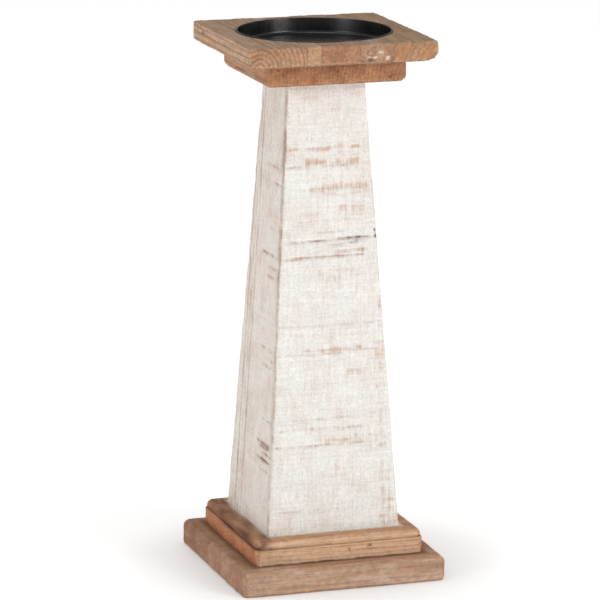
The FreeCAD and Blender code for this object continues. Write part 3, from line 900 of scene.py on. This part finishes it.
def make_column(material):
    """The tapered column, cut along its glue lines into the three boards it is made of."""
    whole = block(COLUMN_LOW, COLUMN_HIGH)
    round_over(whole, edges_along(whole, 2), COLUMN_CORNER, steps=3)
    bmesh.ops.subdivide_edges(whole, edges=edges_along(whole, 2), cuts=CUTS_UP, use_grid_fill=True)
    for axis in (0, 1):
        lines = [edge for edge in edges_along(whole, axis) if edge.calc_length() > FOOT_HALF]
        bmesh.ops.subdivide_edges(whole, edges=lines, cuts=CUTS_ACROSS, use_grid_fill=True)
    taper(whole)
    wear_column(whole)
    for centre, radius in BLACK_KNOTS:
        dent(whole, centre, (radius, 2, radius), 0.6, 0.3)
    right_plane = ((RIGHT_SEAM, 0, 0), (1, 0, 0))
    back_plane = ((0, BACK_SEAM, 0), (0, 1, 0))
    boards = {
        "column_core": [(right_plane, "clear_outer"), (back_plane, "clear_outer")],
        "column_back_board": [(right_plane, "clear_outer"), (back_plane, "clear_inner")],
        "column_right_board": [(right_plane, "clear_inner")],
    }
    for node, cuts in boards.items():
        bm = whole.copy()
        for plane, waste in cuts:
            cut_plane(bm, *plane, **{waste: True})
            close_holes(bm)
        make_piece(bm, "whitewashed_" + node.removeprefix("column_"), node, material)
    whole.free()


# --- cap and top ---------------------------------------------------------------------------------

CAP_CORNER, CAP_ARRIS = 5 * MM, 4 * MM
TOP_CORNER, TOP_ARRIS, TOP_UNDERSIDE = 3 * MM, 1.3 * MM, 2.8 * MM
RECESS_PLAY = 0.1 * MM          # between the pan and its recess
RECESS_BREAK = 0.4 * MM         # how far the recess's sharp edge is broken


def make_cap(material):
    """The board under the top, with rounded lower arrises."""
    bm = block(CAP_LOW, CAP_HIGH)
    round_over(bm, edges_along(bm, 2), CAP_CORNER, ARRIS_STEPS)
    round_over(bm, edges_at(bm, CAP_LOW.z), CAP_ARRIS, ARRIS_STEPS)
    slice_up(bm, CAP_LOW, CAP_HIGH)
    weather(bm, CAP_LOW, CAP_HIGH, knock=0.9 * MM, reach=6 * MM, seed=37, still=[UP, DOWN])
    dent(bm, (36, -47.9, 333.4), (1.4, 3, 1.3), 0.5, 0.7)
    make_piece(bm, "worn_cap_board", "cap_plate", material)


def make_top(materials):
    """The top plate of five staves, with the round recess that the pan sits in."""
    whole = block(TOP_LOW, TOP_HIGH)
    round_over(whole, edges_along(whole, 2), TOP_CORNER, ARRIS_STEPS)
    round_over(whole, edges_at(whole, TOP_HIGH.z), TOP_ARRIS, steps=2)
    round_over(whole, edges_at(whole, TOP_LOW.z), TOP_UNDERSIDE, ARRIS_STEPS)
    recess = PAN_HIGH.x + RECESS_PLAY
    mouth = recess + RECESS_BREAK
    rim = pierce(whole, face_at(whole, TOP_HIGH.z), [(0, 0)], mouth, steps=128)[0]
    rim = sink(whole, rim, (0, 0), -RECESS_BREAK, recess / mouth)
    sink(whole, rim, (0, 0), PAN_LOW.z - TOP_HIGH.z + RECESS_BREAK, 1)
    close_holes(whole)
    slice_up(whole, TOP_LOW, TOP_HIGH)
    seams = [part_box(stave)[0].x for stave in STAVES[1:]]
    for seam in seams:
        for shift in (-0.35, 0, 0.35):
            cut_plane(whole, (seam + shift * MM, 0, 0), (1, 0, 0))
    weather(whole, TOP_LOW, TOP_HIGH, knock=0.9 * MM, reach=5 * MM, seed=51)
    open_seams(whole, seams)
    splinter(whole)
    # A broken corner at the front right, two nicks under the front, and a knot in the left side.
    for centre, size, depth, tone in (
            ((63.5, -62, 345.2), (8, 6, 4.5), 2.2, 0.3), ((50, -63.5, 344.8), (2.4, 3, 1.3), 0.6, 0.8),
            ((17, -63.5, 347.3), (2.0, 3, 1.4), 0.8, 0.9), ((-63.5, 39, 353), (3, 3.4, 2.2), 0.3, 0.45)):
        dent(whole, centre, size, depth, tone)
    bounds = [TOP_LOW.x - MM] + seams + [TOP_HIGH.x + MM]
    for number, stave in enumerate(STAVES):
        bm = whole.copy()
        if number > 0:
            cut_plane(bm, (bounds[number], 0, 0), (1, 0, 0), clear_inner=True)
            close_holes(bm)
        if number < len(STAVES) - 1:
            cut_plane(bm, (bounds[number + 1], 0, 0), (1, 0, 0), clear_outer=True)
            close_holes(bm)
        make_piece(bm, f"worn_stave_{number + 1}", stave, materials[number])
    whole.free()


def open_seams(bm, seams):
    """Sink the glue lines between the staves a little."""
    dark = bm.verts.layers.float["dark"]
    bm.normal_update()
    for vert in bm.verts:
        gap = min(abs(vert.co.x - seam) for seam in seams)
        if gap < 0.05 * MM:
            vert[dark] = max(vert[dark], 0.35 + 0.25 * roughly(vert.co, 9 * MM, 6))
            vert.co -= vert.normal * 0.22 * MM


def splinter(bm):
    """Tear the end grain of the fourth stave's front, round its broken knot."""
    dark = bm.verts.layers.float["dark"]
    worn = bm.verts.layers.float["worn"]
    for vert in bm.verts:
        if vert.co.y > TOP_LOW.y + 2 * MM:
            continue
        reach = span(vert.co.x / MM, 12, 31, 3) * span(vert.co.z / MM, 347, 355, 2)
        torn = roughly(vert.co, 2.4 * MM, 77)
        vert.co.y += reach * max(0.0, torn) * 1.3 * MM
        vert[worn] = max(vert[worn], reach * max(0.0, 1.2 * roughly(vert.co, 3 * MM, 78)))
        vert[dark] = max(vert[dark], reach * max(0.0, torn - 0.25))


# --- pan and screws ------------------------------------------------------------------------------

def arc(centre, radius, start, end, steps):
    """Points along an arc, in degrees, as (radius, height) pairs of a turned outline."""
    turns = [math.radians(start + (end - start) * step / steps) for step in range(steps + 1)]
    return [(centre[0] + radius * math.cos(turn), centre[1] + radius * math.sin(turn)) for turn in turns]


WALL = 1.0 * MM
BEND = 2.0 * MM             # inside radius between the pan's wall and its floor
SCREW_PLAY = 0.05 * MM
BEND_STEPS, TURN_STEPS = 8, 160


def make_pan(material):
    """The pressed steel pan: a shallow cup with a rounded rim and a countersunk hole in its floor."""
    outer = PAN_HIGH.x
    inner = outer - WALL
    floor = PAN_LOW.z + WALL
    hole = PAN_SCREW_RADIUS + SCREW_PLAY
    outline = [(hole, floor)]
    outline += arc((inner - BEND, floor + BEND), BEND, 270, 360, BEND_STEPS)
    outline += arc((inner + WALL / 2, PAN_HIGH.z - WALL / 2), WALL / 2, 180, 0, BEND_STEPS)
    outline += arc((outer - BEND - WALL, PAN_LOW.z + BEND + WALL), BEND + WALL, 360, 270, BEND_STEPS)
    outline += [(hole - WALL, PAN_LOW.z)]
    bm = bmesh.new()
    verts = [bm.verts.new((radius, 0, height)) for radius, height in outline]
    for first, second in zip(verts, verts[1:] + verts[:1]):
        bm.edges.new((first, second))
    bmesh.ops.spin(bm, geom=bm.verts[:] + bm.edges[:], cent=(0, 0, 0), axis=(0, 0, 1),
                   angle=2 * math.pi, steps=TURN_STEPS, use_merge=True, use_duplicate=False)
    bmesh.ops.remove_doubles(bm, verts=bm.verts, dist=WELD)
    make_piece(bm, "black_pan", "pan", material)


def dress_screws(zinc, blackened):
    """The screws keep their shape. The one in the pan is black, and the rest are bright zinc."""
    for name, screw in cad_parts.items():
        if "screw" in name:
            screw.data.materials.clear()
            screw.data.materials.append(blackened if name == "pan_screw" else zinc)


# --- stage ---------------------------------------------------------------------------------------

AZIMUTH, ELEVATION, ROLL = -18.293, 12.779, 0.205     # of the camera, in degrees
DISTANCE = 2.6375
LENS, SENSOR = 240.52, 36       # in millimetres
AIM_SHIFT = Vector((-8.64, -0.38)) * MM
AIM_HEIGHT = 0.179
FLOOR_SIZE = 8
SWEEP = 1.6                 # how far out the paper's glow goes on growing
ROOM_LIGHT = 0.42
LIGHTS_AIM = Vector((0, 0, 0.2))
WHITE = (1, 1, 1, 1)


def make_camera():
    """A long lens, looking slightly down on the candlestick from the front left."""
    turn, lift = math.radians(AZIMUTH), math.radians(ELEVATION)
    back = Vector((math.sin(turn) * math.cos(lift), -math.cos(turn) * math.cos(lift), math.sin(lift)))
    right = UP.cross(back).normalized()
    right = Matrix.Rotation(math.radians(ROLL), 3, back) @ right
    up = back.cross(right)
    data = bpy.data.cameras.new("camera")
    data.lens = LENS
    data.sensor_width = SENSOR
    data.clip_end = 50
    camera = bpy.data.objects.new("camera", data)
    aim = Vector((0, 0, AIM_HEIGHT)) + right * AIM_SHIFT.x + up * AIM_SHIFT.y
    facing = Matrix((right, up, back)).transposed().to_4x4()
    camera.matrix_world = Matrix.Translation(aim + back * DISTANCE) @ facing
    bpy.context.scene.collection.objects.link(camera)
    bpy.context.scene.camera = camera


def make_light(name, place, size, power):
    """A square soft box, turned to face the middle of the candlestick."""
    data = bpy.data.lights.new(name, "AREA")
    data.shape = "SQUARE"
    data.size = size
    data.energy = power
    lamp = bpy.data.objects.new(name, data)
    lamp.location = place
    lamp.rotation_euler = (LIGHTS_AIM - Vector(place)).to_track_quat("-Z", "Y").to_euler()
    bpy.context.scene.collection.objects.link(lamp)


def white_paper_painted_shadow():
    """Matt white paper: it glows a little, more with distance, so that the whole sweep stays white. Its glow is
    lowest next to the candlestick, which paints a soft contact shadow round the base.
    """
    material, tree, shader, coords = new_material("white_paper_painted_shadow")
    shader.inputs["Base Color"].default_value = linear("#f4f4f4")
    shader.inputs["Roughness"].default_value = 0.9
    shader.inputs["Emission Color"].default_value = WHITE
    distance = add(tree, "ShaderNodeVectorMath", {0: coords}, operation="LENGTH")
    share = add(tree, "ShaderNodeMath", {0: distance.outputs["Value"], 1: SWEEP}, operation="DIVIDE")
    # Dimmest next to the base: a painted contact shadow.
    glow_with_painted_shadow = add(tree, "ShaderNodeValToRGB", {"Fac": share}, stops=[
        (0.05, 0.17), (0.085, 0.36), (0.2, 0.46), (1.0, 0.53),
    ])
    tree.links.new(glow_with_painted_shadow.outputs[0], shader.inputs["Emission Strength"])
    return material


def make_stage():
    """A white sweep, an even white surround and three soft boxes."""
    bm = bmesh.new()
    bmesh.ops.create_grid(bm, x_segments=2, y_segments=2, size=FLOOR_SIZE)
    mesh = bpy.data.meshes.new("white_floor")
    bm.to_mesh(mesh)
    bm.free()
    mesh.materials.append(white_paper_painted_shadow())
    floor = bpy.data.objects.new("white_floor", mesh)
    bpy.context.scene.collection.objects.link(floor)
    world = bpy.data.worlds.new("white_room")
    world.use_nodes = True
    surround = world.node_tree.nodes["Background"]
    surround.inputs["Color"].default_value = WHITE
    surround.inputs["Strength"].default_value = ROOM_LIGHT
    bpy.context.scene.world = world
    bpy.context.scene.view_settings.view_transform = "Standard"
    make_light("front_right_soft_box", (1.65, -2.35, 1.15), size=1.1, power=30.0)
    make_light("left_soft_box", (-2.3, -1.05, 0.95), size=0.9, power=10.6)
    make_light("top_soft_box", (-0.2, 0.2, 2.4), size=1.6, power=14)


# --- the candlestick -----------------------------------------------------------------------------

# In every look, upward faces are darkened as painted shade, and the bands next to a joint or the floor are
# painted shade with some soiling.
BASE_LOOK = Look(
    along=0, pith=(0, 10, -45), rings=3.4, wavy=3.5, streak=0.35, coarse=0.7, milky=0.75, seed=1.0,
    tones=("#c19d83", "#a88165", "#a27a5e", "#cbae96"), end_tone="#e8d6cc", up_tone="#f1e6db", dirt="#6a4631",
    # The dark ring round the plinth's foot is painted shade with some soiling.
    joint=Joint(58, 17, 3.0, 0.75, "#7c563e"),
    knots=[((30.4, -70, 8.8), 0.7), ((-55, -70, 14), 0.8)],
    warm=[((-70, 8, 10), 4), ((-70, -20, 9), 3)], torn=[], grime=[(0, 2.2, 0.5)])
PLINTH_LOOK = Look(
    along=0, pith=(0, -15, -50), rings=2.6, wavy=3.0, streak=0.45, coarse=0.6, milky=0.2, seed=2.0,
    tones=("#dcb694", "#bf8f70", "#b88868", "#e0c2a6"), end_tone="#eabda5", up_tone="#e6d8cb", dirt="#633c29",
    joint=Joint(45.6, 33.2, 2.0, 0.9, "#e0d6ca"),
    knots=[((6.5, -58, 23.6), 0.8), ((20.6, -58, 25.2), 0.9), ((19, -58, 24.8), 0.5)],
    warm=[((-58, 20, 23), 5), ((-58, -30, 23), 4)], torn=[], grime=[(17, 18.6, 0.45)])
CAP_LOOK = Look(
    along=1, pith=(60, 0, 330), rings=2.6, wavy=4.0, streak=0.4, coarse=0.95, milky=0.15, seed=3.0,
    tones=("#b98a68", "#946443", "#8d5e40", "#c29874"), end_tone="#ecdfd4", up_tone="#d8cfc6", dirt="#5a3826",
    joint=None, knots=[((35.7, -47.9, 333.4), 1.1), ((-40, -47.9, 341), 1.0)],
    warm=[((-46, -47.9, 336), 3.5), ((-20, -47.9, 333), 3)], torn=[],
    grime=[(344.6, 342.4, 0.65), (329.5, 331.2, 0.5)])
STAVE_LOOK = Look(
    along=1, pith=(-57, 0, 345), rings=2.9, wavy=2.6, streak=0.75, coarse=0.85, milky=0.2, seed=4.0,
    tones=("#c39e81", "#9c7455", "#a88063", "#caaa8f"), end_tone="#ecdfd4", up_tone="#dde0e0", dirt="#64432f",
    joint=None, knots=[], warm=[((-63.5, 39, 353), 3.4), ((-63.5, 20, 350), 2)], torn=[],
    grime=[(344.6, 346.4, 0.55)])
# The broken knot in the end of the fourth stave.
TORN_KNOT = [((15, -63.5, 351), 3.2), ((19, -63.5, 348.5), 3.0), ((24, -63.5, 351.5), 2.8),
             ((28.5, -63.5, 348), 2.2)]
TORN_SPECKS = [((17.4, -63.5, 347.3), 1.3), ((11.3, -63.5, 346.9), 1.0), ((28.3, -63.5, 346.3), 0.9)]
STAVE_LOOKS = [
    STAVE_LOOK,
    STAVE_LOOK._replace(pith=(-20, 0, 300), streak=0.25, seed=5.0, warm=[],
                        tones=("#c6a586", "#b18d6d", "#b8957a", "#cdb092")),
    STAVE_LOOK._replace(pith=(-2, 0, 420), streak=0.3, seed=6.0, warm=[],
                        tones=("#b88f73", "#a3795d", "#a3795f", "#c09b82")),
    STAVE_LOOK._replace(pith=(22, 0, 290), streak=0.3, seed=7.0, milky=0.5,
                        knots=TORN_SPECKS, warm=[], torn=TORN_KNOT,
                        tones=("#b8957b", "#9c785f", "#a07c64", "#cdb199")),
    STAVE_LOOK._replace(pith=(75, 0, 335), rings=3.2, streak=0.5, seed=8.0, wavy=4.0,
                        warm=[((37, -63.5, 349.5), 3), ((41, -63.5, 353.5), 2.4), ((55, -63.5, 350), 3)],
                        tones=("#bb9776", "#a17c5a", "#a07a57", "#c9a684")),
]

make_base(stained_pine("stained_base_pine", BASE_LOOK))
make_plinth(stained_pine("stained_plinth_pine", PLINTH_LOOK))
make_column(whitewashed_pine())
make_cap(stained_pine("stained_cap_pine", CAP_LOOK))
make_top([stained_pine(f"stained_stave_pine_{number}", look) for number, look in enumerate(STAVE_LOOKS, 1)])
make_pan(black_enamel())
dress_screws(zinc_steel("zinc_screw_steel", ("#8d8a84", "#c3c0b8"), 0.32),
             zinc_steel("black_screw_steel", ("#1d1c1b", "#3a3837"), 0.42))
make_camera()
make_stage()
